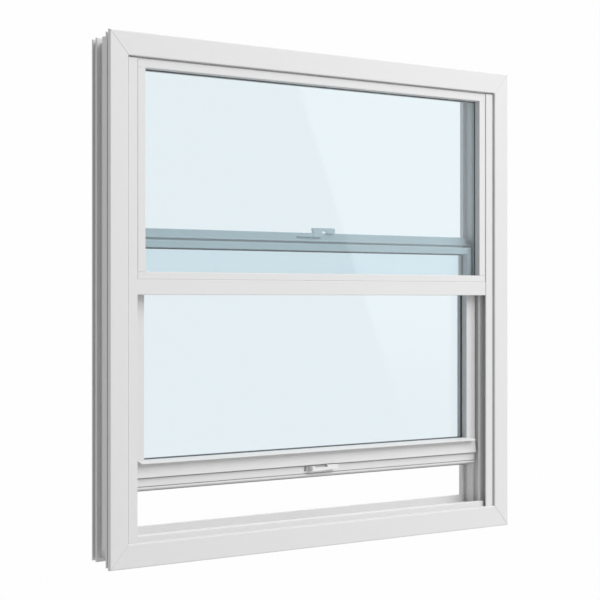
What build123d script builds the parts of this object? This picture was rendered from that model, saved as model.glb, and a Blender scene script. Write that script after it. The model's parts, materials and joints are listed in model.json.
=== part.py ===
from build123d import *
import math
import os

# Single hung window in white extruded vinyl, weather side facing -Y, all sizes in millimetres.
# Plan positions are given as u, the distance from the frame's left edge, and d, the distance
# behind the front of the frame. Heights z start at the frame's lower edge.

# Overall size of the frame
WIDTH = 1206.0
HEIGHT = 1054.0

# Face flange and wall fin that run round the whole frame
FLANGE_W = 47.5
FLANGE_T = 7.0
FLANGE_R = 2.5
MITRE_LINE = 0.7
FIN_GAP = 7.5
FIN_T = 4.0
FIN_TIP = 4.0
FIN_ROOT = 13.0

# Body, pocket and ribs on the side of the frame that goes into the wall
BODY_INSET = 11.6
BODY_DEPTH = 19.5
POCKET_INSET = 22.0
POCKET_DEPTH = 17.0
RIB_INSET = 11.9
RIB_T = 5.0
REAR_RIB_INSET = 13.9
REAR_RIB_T = 3.2
REAR_GROOVE_INSET = 20.0
SILL_BODY_INSET = 17.5
SILL_POCKET_INSET = 20.0
SILL_NOTCH_H = 35.0

# Shadow groove behind the inner edge of the flange
SHADOW_GAP = 3.0
SHADOW_DEPTH = 9.5

# Fixed glazing and sash, from the weather side to the room side
BEAD_FACE = 5.7
BEAD_DEPTH = 11.8
PANE_T = 3.0
UPPER_GAP = 4.5
STOP_T = 1.0
SASH_CLEAR = 1.0
SASH_BEAD_DEPTH = 14.2
SASH_GAP = 8.0
SASH_LEG_T = 3.0
SASH_PLAY = 0.8
LEG_T = 11.0

# Legs of the frame on the room side, which keep the sash in
LEG_REACH = 10.0
UPSTAND_H = 12.0
HEAD_LEG_H = 16.5

# Side tracks: a screen groove behind the front wall, a rib, and a balance cover snapped into the side
TRACK_FACE = 4.3
TRACK_FACE_W = 23.5
TRACK_LIP = 16.2
TRACK_WALL_T = 3.0
TRACK_STEP_W = 7.0
SCREEN_GROOVE_D = 15.0
TRACK_RIB_T = 2.0
TRACK_RECESS_D = 5.0
COVER_SETBACK = 15.5
COVER_W = 19.5
COVER_PROUD = 3.0
COVER_SEAT = 2.0
COVER_T = 1.8

# Sill insert: a ridge along the front and a trough behind it for the sash's seal
INSERT_FACE = 12.0
INSERT_LIP_T = 3.0
SILL_FALL = 2.0
RIDGE_H = 10.5
RIDGE_W = 12.0

# Beads and sealed unit of the fixed light
BEAD_LINE = 1.8
BEAD_LINE_DEPTH = 1.5
BEAD_SLOPE = 2.0
SIDE_BEAD_W = 19.6
HEAD_BEAD_H = 17.3
STOP_SET = 1.4
GLASS_PLAY = 3.5
SPACER_SET = 3.0
UPPER_SPACER_SHOW = 2.5
SPACER_HIDE = 0.5

# Meeting rail and its pile strip
RAIL_H = 31.0
RAIL_BEAD_H = 14.8
MEETING_SET = 1.4
PILE_H = 6.0
PILE_PROUD = 0.7
PILE_ROOT = 2.0

# Sash: its height, how far it stands open, and its running clearances
SASH_H = 523.2
SASH_RAISE = 86.8
SASH_SIDE = 2.0
RUN = 1.0

# Stiles and beads of the sash
STILE_LIP_W = 11.5
SASH_BEAD_W = 18.5
SASH_LEG_W = 15.5
SASH_SPACER_SHOW = 5.0
SPACER_LINE = 2.5

# Bottom rail, from its lower edge up: drip, nose, overhanging face, seat of the bead
DRIP_RISE = 2.5
DRIP_H = 3.6
DRIP_PROUD = 1.0
NOSE_GROOVE = 1.5
NOSE_GROOVE_D = 3.0
NOSE_H = 15.6
NOSE_SET = 2.0
NOSE_FOOT = 2.5
LEDGE_LINE = 2.0
LEDGE_LINE_D = 3.0
FACE_H = 28.4
FACE_SLOPE = 3.5
WEDGE_H = 6.6
WEDGE_TIP = 1.5
WEDGE_REACH = 13.5
SEAL_H = 3.5
SEAL_W = 8.0

# Top rail, from its upper edge down: band with a lip, groove, face
BAND_H = 18.6
BAND_SET = 15.0
LIP_H = 4.0
LIP_PROUD = 3.0
TOP_GROOVE_H = 5.0
TOP_GROOVE_D = 3.0
TOP_FACE_H = 15.4
TOP_POCKET_H = 9.0
TOP_END = 6.0
END_RECESS_W = 15.0
END_RECESS_D = 10.0

# Sash lock: a flat housing on the front of the top rail that rises over it, and its lever
LOCK_SHIFT = 27.5
LOCK_W = 68.6
LOCK_RISE = 10.8
LOCK_FRONT = 4.5
LOCK_UNDERCUT = 2.0
LOCK_CLEAR = 6.1
LOCK_CAP_T = 6.8
LOCK_EYE_LEFT = 29.0
LOCK_EYE_W = 17.0
LOCK_EYE_SLANT = 5.0
LEVER_REACH = 43.0
LEVER_KNUCKLE = 12.0
LEVER_SHOULDER = 17.0
LEVER_WAIST = 25.0
LEVER_DROP = 3.5
LEVER_FALL = 1.0
LEVER_TIP_H = 1.5
LEVER_SET = 0.5
LEVER_CLEAR = 0.5

# Latch on the nose of the bottom rail: a post, a bar with a tab, and two slots in the nose
POST_SHIFT = 27.5
POST_W = 9.0
POST_H = 11.0
POST_RISE = 4.6
POST_PROUD = 13.5
BAR_L = 55.0
BAR_H = 7.5
BAR_T = 4.5
BAR_TAPER = 1.5
TAB_L = 33.0
TAB_H = 10.0
TAB_RISE = 2.0
TAB_SET = 38.0
TAB_FOOT_L = 10.0
SLOT_W = 7.6
SLOT_GAP = 4.3
SLOT_D = 6.0
EYE_LEFT = 43.0
EYE_W = 13.0
EYE_H = 5.0

# Lift rail on the room side of the bottom rail
LIFT_LENGTH = 620.0
LIFT_RISE = 29.0
LIFT_REACH = 11.0
LIFT_T = 2.5
LIFT_LIP = 5.0
LIFT_BACK_H = 16.0
LIFT_TILT = 1.5

# How far trimming shapes run past what they trim
PAST = 5.0

# Depths
glass_front = BEAD_FACE + BEAD_DEPTH
inner_front = glass_front + PANE_T + UPPER_GAP
glass_back = inner_front + PANE_T
rail_back = glass_back + STOP_T
sash_face = rail_back + SASH_CLEAR
sash_glass_front = sash_face + SASH_BEAD_DEPTH
sash_inner_front = sash_glass_front + PANE_T + SASH_GAP
sash_glass_back = sash_inner_front + PANE_T
sash_back = sash_glass_back + SASH_LEG_T
leg_front = sash_back + SASH_PLAY
depth = leg_front + LEG_T
fin_front = FLANGE_T + FIN_GAP
fin_back = fin_front + FIN_T
body_back = fin_back + BODY_DEPTH
rib_front = body_back + POCKET_DEPTH
rib_back = rib_front + RIB_T
wall_back = TRACK_FACE + TRACK_WALL_T
track_step = TRACK_FACE + TRACK_LIP
rib_rear = track_step + TRACK_RIB_T
cover_front = track_step + COVER_SETBACK
cover_back = cover_front + COVER_W
shelf_back = INSERT_FACE + INSERT_LIP_T

# Distances from the frame's outer edges
channel = FLANGE_W + SHADOW_GAP
track_edge = channel + TRACK_FACE_W
screen_floor = track_edge - SCREEN_GROOVE_D
track_wall = track_edge + TRACK_STEP_W
recess_floor = track_wall - TRACK_RECESS_D
cover_in = track_wall + COVER_PROUD
leg_side = track_wall + LEG_REACH
leg_head = channel + HEAD_LEG_H
bead_out = track_edge + BEAD_LINE
bead_side = bead_out + SIDE_BEAD_W
bead_rear = bead_side + BEAD_SLOPE
bead_head = channel + HEAD_BEAD_H
stop_edge = bead_side - STOP_SET
glass_side = track_wall + GLASS_PLAY
sash_edge = track_wall + SASH_SIDE
sash_notch = cover_in + RUN
top_end = sash_edge + TOP_END
stile_lip = sash_edge + STILE_LIP_W
sash_bead_edge = stile_lip + SASH_BEAD_W
sash_leg_edge = stile_lip + SASH_LEG_W
sash_glass_side = stile_lip + GLASS_PLAY

# Heights
top = HEIGHT - channel
ridge_top = channel + RIDGE_H
trough = ridge_top - SEAL_H
leg_sill = ridge_top + UPSTAND_H
rail_bead_top = ridge_top + SASH_H - MEETING_SET
rail_high = rail_bead_top - RAIL_BEAD_H
rail_low = rail_high - RAIL_H
upper_low = rail_high + GLASS_PLAY
upper_high = top - GLASS_PLAY
sash_low = ridge_top + SASH_RAISE
sash_high = sash_low + SASH_H
drip_low = sash_low + DRIP_RISE
drip_top = drip_low + DRIP_H
nose_low = drip_top + NOSE_GROOVE
nose_top = nose_low + NOSE_H
face_low = nose_top + LEDGE_LINE
seat = face_low + FACE_H
wedge_top = seat + WEDGE_H
band_low = sash_high - BAND_H
lip_top = band_low + LIP_H
ledge = band_low - TOP_GROOVE_H
top_rail_low = ledge - TOP_FACE_H
sash_glass_low = seat + GLASS_PLAY
sash_glass_high = top_rail_low + TOP_POCKET_H - GLASS_PLAY

# The origin lies on the back of the wall fin under the sill, half way across its width
origin_z = (FIN_TIP + BODY_INSET) / 2


def place(u, d, z):
    return Vector(u - WIDTH / 2, d - fin_back, z - origin_z)


def outline(corners):
    """Closed path through corners (a, b) or (a, b, r); r rounds that corner."""
    runs = []
    count = len(corners)
    for i in range(count):
        here = Vector(*corners[i][:2])
        if len(corners[i]) == 2:
            runs.append((here,))
            continue
        back = (Vector(*corners[i - 1][:2]) - here).normalized()
        ahead = (Vector(*corners[(i + 1) % count][:2]) - here).normalized()
        radius = corners[i][2]
        half = math.radians(back.get_angle(ahead)) / 2
        reach = radius / math.tan(half)
        middle = (back + ahead).normalized()
        crown = here + middle * (radius / math.sin(half) - radius)
        runs.append((here + back * reach, crown, here + ahead * reach))
    return runs


def section(corners, to_space):
    """Flat face with the given outline, put in space by to_space(a, b)."""
    runs = outline(corners)
    edges = []
    for i, run in enumerate(runs):
        points = [to_space(p.X, p.Y) for p in run]
        if len(points) == 3:
            edges.append(ThreePointArc(*points))
        after = runs[(i + 1) % len(runs)][0]
        edges.append(Line(points[-1], to_space(after.X, after.Y)))
    return make_face(edges)


def upright(corners, z0, z1):
    """Extrusion of a plan section (u, d) from height z0 to height z1."""
    face = section(corners, lambda u, d: place(u, d, z0))
    return extrude(face, amount=z1 - z0, dir=(0, 0, 1))


def level(corners, u0, u1):
    """Extrusion of an end section (d, z) from u0 to u1."""
    face = section(corners, lambda d, z: place(u0, d, z))
    return extrude(face, amount=u1 - u0, dir=(1, 0, 0))


def facing(corners, d0, d1):
    """Extrusion of a front view (u, z) from depth d0 to depth d1."""
    face = section(corners, lambda u, z: place(u, d0, z))
    return extrude(face, amount=d1 - d0, dir=(0, 1, 0))


def slab(u0, u1, d0, d1, z0, z1):
    return upright([(u0, d0), (u1, d0), (u1, d1), (u0, d1)], z0, z1)


def other_side(piece):
    return mirror(piece, about=Plane.YZ)


def both_ends(cut):
    return [cut, other_side(cut)]


def frame_section(leg, sill=False):
    """Section of a frame member as (inset, d) corners, from its room side round to its leg."""
    body = SILL_BODY_INSET if sill else BODY_INSET
    pocket = SILL_POCKET_INSET if sill else POCKET_INSET
    rear_front = depth - REAR_RIB_T
    wall_side = [
        (REAR_RIB_INSET, depth, 0.6), (REAR_RIB_INSET, rear_front, 0.6),
        (REAR_GROOVE_INSET, rear_front), (REAR_GROOVE_INSET, rib_back),
        (RIB_INSET, rib_back, 1.0), (RIB_INSET, rib_front, 1.0),
        (pocket, rib_front), (pocket, body_back), (body, body_back), (body, fin_back),
        (FIN_TIP, fin_back), (FIN_TIP, fin_front, 1.0), (FIN_ROOT, fin_front), (FIN_ROOT, FLANGE_T),
    ]
    flange = [(0, FLANGE_T, 1.0), (0, 0, FLANGE_R), (FLANGE_W, 0, FLANGE_R)]
    groove = [(FLANGE_W, SHADOW_DEPTH), (channel, SHADOW_DEPTH)]
    shelf = [(FLANGE_W + SILL_FALL, shelf_back), (channel, shelf_back)]
    inside = [(channel, leg_front), (leg, leg_front, 1.0), (leg, depth, 2.0)]
    return wall_side + flange + (shelf if sill else groove) + inside


def mitre_line(u, z, to_u, to_z):
    """Thin V-shaped groove in the front face along a mitre."""
    start = place(u, 0, z)
    along = place(to_u, 0, to_z) - start
    into = Vector(0, 1, 0)
    across = into.cross(along).normalized()
    corners = [(-MITRE_LINE, 0), (MITRE_LINE, 0), (0, MITRE_LINE)]
    face = section(corners, lambda a, b: start + across * a + into * b)
    return extrude(face, amount=along.length, dir=along.normalized())


def spacer_frame(u0, z0, z1, u_in, z_in0, z_in1, d0, gap):
    """Rectangular spacer bar between two panes; the second set of edges is its inner edge."""
    outer = facing([(u0, z0), (WIDTH - u0, z0), (WIDTH - u0, z1), (u0, z1)], d0, d0 + gap)
    inner = facing([(u_in, z_in0), (WIDTH - u_in, z_in0), (WIDTH - u_in, z_in1), (u_in, z_in1)],
                   d0, d0 + gap)
    return outer - inner


pieces = {}


def left_and_right(name, piece):
    pieces[f"{name}_left"] = piece
    pieces[f"{name}_right"] = other_side(piece)


# Frame: four extrusions, mitred as far as the channel and coped round the room-side legs
far = WIDTH - channel
leg_far = WIDTH - leg_side
lower_mitre = mitre_line(0, 0, channel, channel)
upper_mitre = mitre_line(0, HEIGHT, channel, top)

jamb_keep = facing([(0, 0), (channel, channel), (leg_side + PAST, channel), (leg_side + PAST, top),
                    (channel, top), (0, HEIGHT)], 0, depth)
jamb = upright(frame_section(leg_side), 0, HEIGHT) & jamb_keep
jamb -= slab(0, POCKET_INSET, fin_back, body_back, 0, SILL_NOTCH_H)
jamb -= [lower_mitre, upper_mitre]
left_and_right("frame_jamb", jamb)

sill_corners = [(d, z, *r) for z, d, *r in frame_section(leg_sill, sill=True)]
sill_keep = facing([(0, 0), (WIDTH, 0), (far, channel), (leg_far, channel), (leg_far, leg_sill + PAST),
                    (leg_side, leg_sill + PAST), (leg_side, channel), (channel, channel)], 0, depth)
sill = (level(sill_corners, 0, WIDTH) & sill_keep) - both_ends(lower_mitre)
pieces["frame_sill"] = sill

head_corners = [(d, HEIGHT - t, *r) for t, d, *r in frame_section(leg_head)]
head_low = HEIGHT - leg_head - PAST
head_keep = facing([(0, HEIGHT), (WIDTH, HEIGHT), (far, top), (leg_far, top), (leg_far, head_low),
                    (leg_side, head_low), (leg_side, top), (channel, top)], 0, depth)
head = (level(head_corners, 0, WIDTH) & head_keep) - both_ends(upper_mitre)
head += slab(stop_edge, WIDTH - stop_edge, glass_back, rail_back, HEIGHT - bead_head, top)
pieces["frame_head"] = head

# Side tracks: front wall, screen groove, rib, recess and the cover's seat; they stand on the sill's shelf
cover_seat = track_wall - COVER_SEAT
track = upright(
    [(channel, TRACK_FACE, 0.6), (track_edge, TRACK_FACE, 1.2), (track_edge, wall_back),
     (screen_floor, wall_back), (screen_floor, track_step), (track_wall, track_step, 0.5),
     (track_wall, rib_rear, 0.5),
     (recess_floor, rib_rear), (recess_floor, cover_front), (cover_seat, cover_front),
     (cover_seat, cover_back), (track_wall, cover_back), (track_wall, leg_front), (channel, leg_front)],
    FLANGE_W, top)
left_and_right("track", track - sill)

cover = upright(
    [(cover_seat, cover_front), (cover_in, cover_front, 1.2), (cover_in, cover_back, 1.2),
     (cover_seat, cover_back), (cover_seat, cover_back - COVER_T), (cover_in - COVER_T, cover_back - COVER_T),
     (cover_in - COVER_T, cover_front + COVER_T), (cover_seat, cover_front + COVER_T)], ridge_top, top)
left_and_right("balance_cover", cover)

# Sill insert between the tracks, with a lip down to the sill's shelf
ridge_back = INSERT_FACE + RIDGE_W
between_tracks = upright(
    [(track_edge, 0), (WIDTH - track_edge, 0), (WIDTH - track_edge, track_step),
     (WIDTH - track_wall, track_step), (WIDTH - track_wall, depth), (track_wall, depth),
     (track_wall, track_step), (track_edge, track_step)], 0, HEIGHT)
insert = level(
    [(INSERT_FACE, FLANGE_W), (shelf_back, FLANGE_W), (shelf_back, channel), (leg_front, channel),
     (leg_front, trough), (ridge_back, trough), (ridge_back, ridge_top, 1.0), (INSERT_FACE, ridge_top, 2.0)],
    track_edge, WIDTH - track_edge)
insert += [slab(*ends, cover_front, cover_back, trough, ridge_top)
           for ends in ((track_wall, cover_in), (WIDTH - cover_in, WIDTH - track_wall))]
pieces["sill_insert"] = (insert & between_tracks) - sill

# Meeting rail, notched at its ends round the tracks, with a pile strip in its back
pile_low = (rail_low + rail_high - PILE_H) / 2
pile_high = pile_low + PILE_H
pile_root = rail_back - PILE_ROOT
rail = level(
    [(BEAD_FACE, rail_low, 1.5), (rail_back, rail_low, 1.0), (rail_back, pile_low), (pile_root, pile_low),
     (pile_root, pile_high), (rail_back, pile_high), (rail_back, rail_bead_top, 0.3),
     (glass_back, rail_bead_top, 0.3), (glass_back, rail_high), (BEAD_FACE, rail_high, 1.0)],
    track_edge, WIDTH - track_edge) & between_tracks
rail -= both_ends(slab(0, stop_edge, glass_back, rail_back, rail_high, rail_bead_top))
pieces["meeting_rail"] = rail
pile_front = rail_back + PILE_PROUD
pieces["meeting_rail_pile"] = level(
    [(pile_root, pile_low), (pile_front, pile_low, 0.5), (pile_front, pile_high, 0.5), (pile_root, pile_high)],
    track_wall, WIDTH - track_wall)

# Stops behind the fixed glass at each side
left_and_right("upper_stop", slab(track_wall, stop_edge, glass_back, rail_back, rail_high, top))

# Beads of the fixed glass: the head bead and the rail bead run through, the side beads stand between.
# A fine line parts them from the tracks; behind it they fill up to the track.
bead_low = HEIGHT - bead_head
bead_rear_low = bead_low - BEAD_SLOPE
line_floor = BEAD_FACE + BEAD_LINE_DEPTH
head_bead = level(
    [(BEAD_FACE, top, 1.0), (glass_front, top), (glass_front, bead_rear_low), (BEAD_FACE, bead_low, 1.0)],
    bead_out, WIDTH - bead_out)
rail_bead = level(
    [(BEAD_FACE, rail_high, 1.0), (glass_front, rail_high), (glass_front, rail_bead_top, 0.8),
     (BEAD_FACE, rail_bead_top, 1.5)], bead_out, WIDTH - bead_out)
side_bead = upright(
    [(bead_out, BEAD_FACE, 0.8), (bead_side, BEAD_FACE, 1.0), (bead_rear, glass_front),
     (track_edge, glass_front), (track_edge, line_floor), (bead_out, line_floor)],
    rail_bead_top, bead_low)
left_and_right("upper_bead", side_bead - head_bead - rail_bead)
pieces["upper_bead_top"] = head_bead + both_ends(
    slab(track_edge, bead_out, line_floor, glass_front, bead_low, top))
pieces["upper_bead_bottom"] = rail_bead + both_ends(
    slab(track_edge, bead_out, line_floor, glass_front, rail_high, rail_bead_top))

# Sealed unit of the fixed light
glass_far = WIDTH - glass_side
pieces["upper_pane_outer"] = slab(glass_side, glass_far, glass_front, glass_front + PANE_T,
                                  upper_low, upper_high)
pieces["upper_pane_inner"] = slab(glass_side, glass_far, inner_front, glass_back, upper_low, upper_high)
pieces["upper_spacer"] = spacer_frame(
    glass_side + SPACER_SET, upper_low + SPACER_SET, upper_high - SPACER_SET,
    bead_rear + UPPER_SPACER_SHOW, rail_bead_top - SPACER_HIDE, bead_rear_low - UPPER_SPACER_SHOW,
    glass_front + PANE_T, UPPER_GAP)

# Sash stiles, grooved in their outer edges round the balance covers
groove_front = cover_front - RUN
groove_back = cover_back + RUN
stile = upright(
    [(sash_edge, sash_face, 1.0), (stile_lip, sash_face, 0.8), (stile_lip, sash_glass_back),
     (sash_leg_edge, sash_glass_back, 0.5), (sash_leg_edge, sash_back, 1.0), (sash_edge, sash_back, 1.0),
     (sash_edge, groove_back), (sash_notch, groove_back), (sash_notch, groove_front),
     (sash_edge, groove_front)], seat, band_low)
left_and_right("sash_stile", stile)

# Bottom rail: drip, nose and the face that overhangs it; its ends clear the balance covers
face_front = sash_face - FACE_SLOPE
nose_face = sash_face + NOSE_SET
ledge_line_back = nose_face + LEDGE_LINE_D
nose_groove_back = nose_face + NOSE_GROOVE_D
drip_face = nose_face - DRIP_PROUD
bottom_rail = level(
    [(face_front, face_low, 0.6), (sash_face, seat), (sash_back, seat), (sash_back, sash_low, 1.0),
     (nose_face + NOSE_FOOT, sash_low, 1.0), (nose_face + NOSE_FOOT, drip_low), (drip_face, drip_low, 0.6),
     (drip_face, drip_top, 0.6), (nose_groove_back, drip_top), (nose_groove_back, nose_low),
     (nose_face, nose_low, 0.6), (nose_face, nose_top, 0.6), (ledge_line_back, nose_top),
     (ledge_line_back, face_low)], sash_edge, WIDTH - sash_edge)
bottom_rail -= both_ends(slab(0, sash_notch, groove_front, groove_back, sash_low, seat))
bottom_rail += slab(sash_leg_edge, WIDTH - sash_leg_edge, sash_glass_back, sash_back, seat, wedge_top)

# Top rail: its face stands between the stiles, its band lies over them and has a recess at each end
band_face = sash_face + BAND_SET
lip_face = band_face - LIP_PROUD
ledge_back = band_face + TOP_GROOVE_D
pocket_top = top_rail_low + TOP_POCKET_H
top_rail = level(
    [(sash_face, top_rail_low, 1.5), (sash_face, ledge, 1.5), (ledge_back, ledge), (ledge_back, band_low),
     (lip_face, band_low, 0.6), (lip_face, lip_top, 0.8), (band_face, lip_top), (band_face, sash_high, 1.5),
     (sash_back, sash_high, 2.0), (sash_back, top_rail_low, 1.0), (sash_glass_back, top_rail_low),
     (sash_glass_back, pocket_top), (sash_glass_front, pocket_top), (sash_glass_front, top_rail_low)],
    top_end, WIDTH - top_end)
top_rail -= both_ends(slab(0, sash_bead_edge, 0, depth, top_rail_low, band_low))
recess_end = top_end + END_RECESS_W
top_rail -= both_ends(slab(0, recess_end, band_face, band_face + END_RECESS_D, lip_top, sash_high))
pieces["sash_top_rail"] = top_rail

# Beads of the sash: a wedge with a sloping top at the bottom, flat ones at the sides
wedge_face = sash_face - WEDGE_REACH
pieces["sash_bead_bottom"] = level(
    [(wedge_face, seat, 0.4), (sash_glass_front, seat), (sash_glass_front, wedge_top, 0.6),
     (sash_face, wedge_top, 2.0), (wedge_face, seat + WEDGE_TIP, 0.6)], stile_lip, WIDTH - stile_lip)
sash_bead = upright(
    [(stile_lip, sash_face, 0.8), (sash_bead_edge, sash_face, 0.8),
     (sash_bead_edge, sash_glass_front, 0.6), (stile_lip, sash_glass_front)], wedge_top, ledge)
left_and_right("sash_bead", sash_bead)

# Sealed unit of the sash
sash_glass_far = WIDTH - sash_glass_side
pieces["sash_pane_outer"] = slab(sash_glass_side, sash_glass_far, sash_glass_front,
                                 sash_glass_front + PANE_T, sash_glass_low, sash_glass_high)
pieces["sash_pane_inner"] = slab(sash_glass_side, sash_glass_far, sash_inner_front, sash_glass_back,
                                 sash_glass_low, sash_glass_high)
pieces["sash_spacer"] = spacer_frame(
    sash_glass_side + SPACER_SET, sash_glass_low + SPACER_SET, sash_glass_high - SPACER_SET / 2,
    sash_bead_edge + SASH_SPACER_SHOW, wedge_top + SPACER_LINE, top_rail_low - SPACER_LINE,
    sash_glass_front + PANE_T, SASH_GAP)

# Bulb seal under the bottom rail, between the covers
seal_front = (sash_glass_front + sash_glass_back - SEAL_W) / 2
seal_back = seal_front + SEAL_W
seal_low = sash_low - SEAL_H
pieces["sash_bottom_seal"] = level(
    [(seal_front, sash_low), (seal_front, seal_low, 2.5), (seal_back, seal_low, 2.5), (seal_back, sash_low)],
    sash_notch + RUN, WIDTH - sash_notch - RUN)

# Lift rail along the room side of the bottom rail
lift_u = (WIDTH - LIFT_LENGTH) / 2
lift_z = sash_low + LIFT_RISE
lift_out = sash_back + LIFT_REACH
pieces["sash_lift_rail"] = level(
    [(sash_back, lift_z), (lift_out, lift_z + LIFT_TILT, 2.0), (lift_out, lift_z - LIFT_LIP, 0.8),
     (lift_out - LIFT_T, lift_z - LIFT_LIP, 0.8), (lift_out - LIFT_T, lift_z + LIFT_TILT - LIFT_T, 1.0),
     (sash_back + LIFT_T, lift_z - LIFT_T, 1.0), (sash_back + LIFT_T, lift_z - LIFT_BACK_H),
     (sash_back, lift_z - LIFT_BACK_H)], lift_u, WIDTH - lift_u)

# Sash lock: a flat housing with an eye between its cap and the top of the rail
lock_left = WIDTH / 2 + LOCK_SHIFT - LOCK_W / 2
lock_right = lock_left + LOCK_W
lock_top = sash_high + LOCK_RISE
lock_front = band_face - LOCK_FRONT
foot_left = lock_left + LOCK_UNDERCUT
block_low = lip_top + LOCK_CLEAR
cap_low = lock_top - LOCK_CAP_T
eye_left = lock_left + LOCK_EYE_LEFT
eye_right = eye_left + LOCK_EYE_W
housing = facing(
    [(foot_left, block_low), (eye_left, block_low, 1.0), (eye_left, cap_low),
     (eye_right - LOCK_EYE_SLANT, cap_low), (eye_right, sash_high), (lock_right, sash_high),
     (lock_right, lock_top, 4.0), (lock_left, lock_top, 3.0), (lock_left, cap_low, 1.0), (foot_left, cap_low)],
    lock_front, band_face)
pieces["lock_housing"] = housing

# Lever: a knuckle beside the housing that steps down to a tapering blade pointing left
shoulder_top = sash_high - LEVER_DROP
lever_tip = lock_left - LEVER_REACH
pieces["lock_lever"] = facing(
    [(foot_left, block_low), (foot_left, sash_high), (lock_left - LEVER_KNUCKLE, sash_high, 1.5),
     (lock_left - LEVER_SHOULDER, shoulder_top), (lock_left - LEVER_WAIST, shoulder_top - LEVER_FALL),
     (lever_tip, block_low + LEVER_TIP_H, 0.5), (lever_tip, block_low)],
    lock_front + LEVER_SET, band_face - LEVER_CLEAR)

# Latch on the nose: a slot and an eye in the nose, a post, a bar with a tab and a foot back to the nose
post_left = WIDTH / 2 - POST_SHIFT
post_right = post_left + POST_W
post_front = nose_face - POST_PROUD
bar_back = post_front + BAR_T
latch_low = nose_low + POST_RISE
slot_right = post_left - SLOT_GAP
slot_high = latch_low + POST_H
slot_back = nose_face + SLOT_D
eye_start = post_right + EYE_LEFT
bottom_rail -= facing([(slot_right - SLOT_W, latch_low, 3.0), (slot_right, latch_low, 1.0),
                       (slot_right, slot_high, 1.0), (slot_right - SLOT_W, slot_high, 3.0)],
                      nose_face, slot_back)
bottom_rail -= slab(eye_start, eye_start + EYE_W, nose_face, slot_back, nose_top - EYE_H, nose_top)
pieces["sash_bottom_rail"] = bottom_rail

pieces["latch_post"] = upright([(post_left, nose_face), (post_left, post_front, 3.0), (post_right, post_front),
                                (post_right, nose_face)], latch_low, slot_high)
tab_left = post_right + TAB_SET
tab_right = tab_left + TAB_L
tab_low = latch_low + TAB_RISE
bar_top = latch_low + BAR_H
lever = facing([(post_right, latch_low), (post_right + BAR_L, latch_low + BAR_TAPER),
                (post_right + BAR_L, bar_top), (post_right, bar_top)], post_front, bar_back)
lever += facing([(tab_left, tab_low, 1.0), (tab_right, tab_low, 1.5), (tab_right, tab_low + TAB_H, 1.5),
                 (tab_left, tab_low + TAB_H, 1.0)], post_front, bar_back)
lever += slab(tab_right - TAB_FOOT_L, tab_right, bar_back, nose_face, tab_low, bar_top)
pieces["latch_lever"] = lever

os.makedirs("parts", exist_ok=True)
for name, piece in pieces.items():
    export_step(piece, f"parts/{name}.step")
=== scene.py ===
import json
import math
import bpy
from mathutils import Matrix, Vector


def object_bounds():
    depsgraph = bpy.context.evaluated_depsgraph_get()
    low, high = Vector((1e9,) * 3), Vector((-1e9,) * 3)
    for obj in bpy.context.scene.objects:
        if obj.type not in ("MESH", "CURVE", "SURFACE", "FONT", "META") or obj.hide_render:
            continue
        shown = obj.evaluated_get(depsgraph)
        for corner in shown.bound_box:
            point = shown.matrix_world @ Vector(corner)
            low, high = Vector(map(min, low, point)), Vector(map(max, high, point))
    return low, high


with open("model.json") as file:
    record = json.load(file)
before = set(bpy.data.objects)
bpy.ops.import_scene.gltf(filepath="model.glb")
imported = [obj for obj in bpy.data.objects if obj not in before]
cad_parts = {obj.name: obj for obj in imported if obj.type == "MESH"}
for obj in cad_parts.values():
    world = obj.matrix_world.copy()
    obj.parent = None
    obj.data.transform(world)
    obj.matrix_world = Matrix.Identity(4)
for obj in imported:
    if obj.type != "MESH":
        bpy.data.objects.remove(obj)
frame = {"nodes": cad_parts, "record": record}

cad_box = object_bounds()
low, high = (Vector(corner) for corner in cad_box)
window_middle = (low + high) / 2

# Colours of the window and the floor

WHITE_VINYL = (0.63, 0.63, 0.63, 1.0)
WHITE_COAT = (0.685, 0.685, 0.69, 1.0)
PANE_TINT = (0.914, 0.963, 0.984, 1.0)
PANE_LIGHT = (0.855, 0.90, 0.915, 1.0)
SPACER_SIDE = (0.50, 0.505, 0.51, 1.0)
SEALANT_BLACK = (0.165, 0.165, 0.17, 1.0)
PILE_GREY = (0.30, 0.31, 0.32, 1.0)
SEAL_GREY = (0.26, 0.265, 0.27, 1.0)
FLOOR_GREY = (0.60, 0.60, 0.60, 1.0)

# Make-up of the finishes

GLASS_IOR = 1.5
FLOOR_ROUGHNESS = 0.9
NOISE_MIDDLE = 0.5
DRIFT_DETAIL = 3.0
DRIFT_BREAKUP = 0.5
GRAIN_DETAIL = 4.0
GRAIN_BREAKUP = 0.6
RELIEF_STRENGTH = 0.25
TONE_DRIFT_INPUTS = {
    "Color": "NodeSocketColor",
    "Drift": "NodeSocketFloat",
    "Drift Scale": "NodeSocketFloat",
    "Grain Scale": "NodeSocketFloat",
    "Roughness": "NodeSocketFloat",
    "Roughness Drift": "NodeSocketFloat",
}
TONE_DRIFT_OUTPUTS = {
    "Color": "NodeSocketColor",
    "Roughness": "NodeSocketFloat",
    "Grain": "NodeSocketFloat",
}

# Floor and lamps, in metres and watts, with each lamp's way as seen from the window

FLOOR_RADIUS = 6.0
FLOOR_SIDES = 96
FLOOR_DROP = 1.05
KEY_WAY = (0.42, -0.62, 0.66)
KEY_DISTANCE = 6.5
KEY_SIZE = 5.5
KEY_POWER = 460.0
FILL_WAY = (0.62, 0.74, 0.25)
FILL_DISTANCE = 6.5
FILL_SIZE = 4.0
FILL_POWER = 150.0

# Surround: a span is the reach along its way where the level changes from the first to the second

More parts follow.
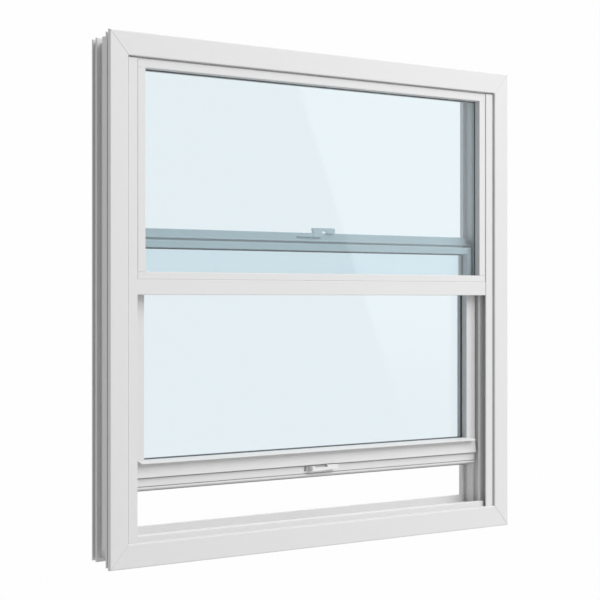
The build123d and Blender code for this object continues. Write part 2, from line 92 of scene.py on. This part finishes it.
SURROUND_COLOR = (1.0, 1.0, 1.0, 1.0)
VIEW_WAY = (0.705, 0.709, 0.0)
ROOM_SPAN = (-0.8, 0.35)
ROOM_LEVELS = (0.435, 0.99)
MIRRORED_WAY = (0.705, -0.709, 0.0)
MIRRORED_SPAN = (0.75, 0.95)
EDGE_WAY = (0.6565, 0.6935, 0.2970)
EDGE_SPAN = (-0.0015, 0.0015)
EDGE_DARK_LEVEL = 0.76
FADE_WAY = (0.0, 0.2, 1.0)
FADE_SPAN = (-0.195, -0.1265)
FADE_LEVELS = (0.80, 1.04)

# Camera: its place in metres from the window's low left front corner, its lens and sensor in millimetres

CAMERA_FROM_CORNER = (-2.662, -3.1997, 0.5298)
CAMERA_TURN = math.radians(44.84)
CAMERA_LENS = 128.12
CAMERA_SENSOR = 36.0
CAMERA_SHIFT = -0.0025


def feed(tree, source, socket):
    """Link a socket to another one, or set it to a plain number."""
    if isinstance(source, bpy.types.NodeSocket):
        tree.links.new(source, socket)
    else:
        socket.default_value = source


def calculate(tree, operation, *terms):
    """Result of a Math node whose terms are sockets or numbers."""
    node = tree.nodes.new("ShaderNodeMath")
    node.operation = operation
    for term, socket in zip(terms, node.inputs):
        feed(tree, term, socket)
    return node.outputs["Value"]


def noise(tree, place, scale, detail, breakup):
    """Noise over the surface, with its scale from a socket."""
    node = tree.nodes.new("ShaderNodeTexNoise")
    node.inputs["Detail"].default_value = detail
    node.inputs["Roughness"].default_value = breakup
    tree.links.new(place, node.inputs["Vector"])
    tree.links.new(scale, node.inputs["Scale"])
    return node.outputs["Fac"]


def tone_drift_group():
    """Slow drift of tone and roughness over a surface, and the height of its fine grain."""
    group = bpy.data.node_groups.new("tone_drift", "ShaderNodeTree")
    for label, kind in TONE_DRIFT_INPUTS.items():
        group.interface.new_socket(name=label, in_out="INPUT", socket_type=kind)
    for label, kind in TONE_DRIFT_OUTPUTS.items():
        group.interface.new_socket(name=label, in_out="OUTPUT", socket_type=kind)
    given = group.nodes.new("NodeGroupInput").outputs
    out = group.nodes.new("NodeGroupOutput").inputs
    place = group.nodes.new("ShaderNodeTexCoord").outputs["Object"]
    slow = noise(group, place, given["Drift Scale"], DRIFT_DETAIL, DRIFT_BREAKUP)
    grain = noise(group, place, given["Grain Scale"], GRAIN_DETAIL, GRAIN_BREAKUP)
    swing = calculate(group, "SUBTRACT", slow, NOISE_MIDDLE)
    brightness = calculate(group, "MULTIPLY_ADD", swing, given["Drift"], 1.0)
    roughness = calculate(group, "MULTIPLY_ADD", swing, given["Roughness Drift"], given["Roughness"])
    tone = group.nodes.new("ShaderNodeVectorMath")
    tone.operation = "SCALE"
    group.links.new(given["Color"], tone.inputs["Vector"])
    group.links.new(brightness, tone.inputs["Scale"])
    group.links.new(tone.outputs["Vector"], out["Color"])
    group.links.new(roughness, out["Roughness"])
    group.links.new(grain, out["Grain"])
    return group


tone_drift = tone_drift_group()


def new_finish(name):
    """Empty finish; gives the material, its node tree and its shader."""
    finish = bpy.data.materials.new(name)
    finish.use_nodes = True
    return finish, finish.node_tree, finish.node_tree.nodes["Principled BSDF"]


def solid_finish(name, color, drift, drift_scale, grain_scale, grain_depth, roughness, roughness_drift):
    """Opaque finish with drifting tone and roughness, and a fine grain in relief, its depth in metres."""
    finish, tree, shader = new_finish(name)
    drifted = tree.nodes.new("ShaderNodeGroup")
    drifted.node_tree = tone_drift
    drifted.inputs["Color"].default_value = color
    drifted.inputs["Drift"].default_value = drift
    drifted.inputs["Drift Scale"].default_value = drift_scale
    drifted.inputs["Grain Scale"].default_value = grain_scale
    drifted.inputs["Roughness"].default_value = roughness
    drifted.inputs["Roughness Drift"].default_value = roughness_drift
    relief = tree.nodes.new("ShaderNodeBump")
    relief.inputs["Strength"].default_value = RELIEF_STRENGTH
    relief.inputs["Distance"].default_value = grain_depth
    tree.links.new(drifted.outputs["Color"], shader.inputs["Base Color"])
    tree.links.new(drifted.outputs["Roughness"], shader.inputs["Roughness"])
    tree.links.new(drifted.outputs["Grain"], relief.inputs["Height"])
    tree.links.new(relief.outputs["Normal"], shader.inputs["Normal"])
    return finish


def pane_finish():
    """Clear glass with a faint blue cast, which lets light straight through to the pieces behind it."""
    finish, tree, shader = new_finish("float_glass")
    shader.inputs["Base Color"].default_value = PANE_TINT
    shader.inputs["Roughness"].default_value = 0.0
    shader.inputs["IOR"].default_value = GLASS_IOR
    shader.inputs["Transmission Weight"].default_value = 1.0
    clear = tree.nodes.new("ShaderNodeBsdfTransparent")
    clear.inputs["Color"].default_value = PANE_LIGHT
    rays = tree.nodes.new("ShaderNodeLightPath")
    shown = shader.outputs["BSDF"]
    for kind in ("Is Shadow Ray", "Is Diffuse Ray"):
        choice = tree.nodes.new("ShaderNodeMixShader")
        tree.links.new(rays.outputs[kind], choice.inputs["Fac"])
        tree.links.new(shown, choice.inputs[1])
        tree.links.new(clear.outputs["BSDF"], choice.inputs[2])
        shown = choice.outputs["Shader"]
    tree.links.new(shown, tree.nodes["Material Output"].inputs["Surface"])
    return finish


def spacer_finish():
    """Spacer bar: black sealant where it meets the panes, grey on the sides between them."""
    finish = solid_finish("spacer_bar", SPACER_SIDE, drift=0.10, drift_scale=12.0, grain_scale=1500.0,
                          grain_depth=0.00010, roughness=0.55, roughness_drift=0.08)
    tree = finish.node_tree
    base = tree.nodes["Principled BSDF"].inputs["Base Color"]
    side_tone = base.links[0].from_socket
    facing = tree.nodes.new("ShaderNodeNewGeometry")
    axes = tree.nodes.new("ShaderNodeSeparateXYZ")
    tree.links.new(facing.outputs["Normal"], axes.inputs["Vector"])
    mixed = tree.nodes.new("ShaderNodeMix")
    mixed.data_type = "RGBA"
    mixed.inputs["B"].default_value = SEALANT_BLACK
    tree.links.new(calculate(tree, "ABSOLUTE", axes.outputs["Y"]), mixed.inputs["Factor"])
    tree.links.new(side_tone, mixed.inputs["A"])
    tree.links.new(mixed.outputs["Result"], base)
    return finish


# Finish for each of the frame's material slots

finishes = {
    "vinyl": solid_finish("white_vinyl", WHITE_VINYL, drift=0.03, drift_scale=2.5, grain_scale=1200.0,
                          grain_depth=0.00006, roughness=0.42, roughness_drift=0.08),
    "hardware": solid_finish("white_powder_coat", WHITE_COAT, drift=0.03, drift_scale=9.0, grain_scale=2200.0,
                             grain_depth=0.00012, roughness=0.36, roughness_drift=0.06),
    "glass": pane_finish(),
    "spacer": spacer_finish(),
    "pile": solid_finish("woven_pile", PILE_GREY, drift=0.20, drift_scale=60.0, grain_scale=3000.0,
                         grain_depth=0.0004, roughness=0.95, roughness_drift=0.04),
    "seal": solid_finish("bulb_seal", SEAL_GREY, drift=0.10, drift_scale=14.0, grain_scale=1600.0,
                         grain_depth=0.00012, roughness=0.60, roughness_drift=0.08),
}

for piece in frame["record"]["subparts"]:
    slots = frame["nodes"][piece["node"]].data.materials
    slots.clear()
    slots.append(finishes[piece["material_slot"]])


def add_to_scene(name, data, place):
    """New object in the scene at the given place."""
    added = bpy.data.objects.new(name, data)
    added.location = place
    bpy.context.scene.collection.objects.link(added)
    return added


def studio_floor():
    """Round pale floor, well below the window."""
    mesh = bpy.data.meshes.new("studio_floor")
    angles = [2 * math.pi * side / FLOOR_SIDES for side in range(FLOOR_SIDES)]
    rim = [(FLOOR_RADIUS * math.cos(angle), FLOOR_RADIUS * math.sin(angle), 0) for angle in angles]
    mesh.from_pydata(rim, [], [range(FLOOR_SIDES)])
    paint, _, shader = new_finish("studio_floor_paint")
    shader.inputs["Base Color"].default_value = FLOOR_GREY
    shader.inputs["Roughness"].default_value = FLOOR_ROUGHNESS
    mesh.materials.append(paint)
    return add_to_scene("studio_floor", mesh, (0, 0, low.z - FLOOR_DROP))


floor = studio_floor()


def band(tree, way, span, levels):
    """Level that changes smoothly with the reach of the sight line along a way."""
    sight = tree.nodes.new("ShaderNodeTexCoord").outputs["Generated"]
    reach = tree.nodes.new("ShaderNodeVectorMath")
    reach.operation = "DOT_PRODUCT"
    reach.inputs[1].default_value = Vector(way).normalized()
    tree.links.new(sight, reach.inputs[0])
    ramp = tree.nodes.new("ShaderNodeMapRange")
    ramp.interpolation_type = "SMOOTHSTEP"
    tree.links.new(reach.outputs["Value"], ramp.inputs["Value"])
    for label, value in zip(("From Min", "From Max", "To Min", "To Max"), (*span, *levels)):
        feed(tree, value, ramp.inputs[label])
    return ramp.outputs["Result"]


def studio_surround():
    """White room behind the window and a dimmer one before it, which the glass mirrors.

    The mirrored part has a slanting edge, and its bright side fades downwards.
    """
    world = bpy.data.worlds.new("studio")
    world.use_nodes = True
    tree = world.node_tree
    room = band(tree, VIEW_WAY, ROOM_SPAN, ROOM_LEVELS)
    bright_side = band(tree, FADE_WAY, FADE_SPAN, FADE_LEVELS)
    slanting_edge = band(tree, EDGE_WAY, EDGE_SPAN, (EDGE_DARK_LEVEL, bright_side))
    mirrored_part = tree.nodes.new("ShaderNodeMix")
    mirrored_part.inputs["A"].default_value = 1.0
    tree.links.new(band(tree, MIRRORED_WAY, MIRRORED_SPAN, (0.0, 1.0)), mirrored_part.inputs["Factor"])
    tree.links.new(slanting_edge, mirrored_part.inputs["B"])
    background = tree.nodes["Background"]
    background.inputs["Color"].default_value = SURROUND_COLOR
    glow = calculate(tree, "MULTIPLY", room, mirrored_part.outputs["Result"])
    tree.links.new(glow, background.inputs["Strength"])
    return world


bpy.context.scene.world = studio_surround()
bpy.context.scene.view_settings.view_transform = "Standard"


def softbox(name, way, distance, size, power):
    """Square lamp that faces the window's middle and doesn't show in its glass."""
    light = bpy.data.lights.new(name, "AREA")
    light.shape = "SQUARE"
    light.size = size
    light.energy = power
    towards_lamp = Vector(way).normalized()
    lamp = add_to_scene(name, light, window_middle + towards_lamp * distance)
    lamp.rotation_euler = towards_lamp.to_track_quat("Z", "Y").to_euler()
    lamp.visible_glossy = False
    lamp.visible_transmission = False


softbox("key_softbox", KEY_WAY, KEY_DISTANCE, KEY_SIZE, KEY_POWER)
softbox("room_side_softbox", FILL_WAY, FILL_DISTANCE, FILL_SIZE, FILL_POWER)


def photo_camera():
    """Level camera at the photograph's viewing angle."""
    lens = bpy.data.cameras.new("photo_camera")
    lens.sensor_width = CAMERA_SENSOR
    lens.lens = CAMERA_LENS
    lens.shift_y = CAMERA_SHIFT
    camera = add_to_scene("photo_camera", lens, low + Vector(CAMERA_FROM_CORNER))
    camera.rotation_euler = (math.pi / 2, 0, -CAMERA_TURN)
    return camera


bpy.context.scene.camera = photo_camera()
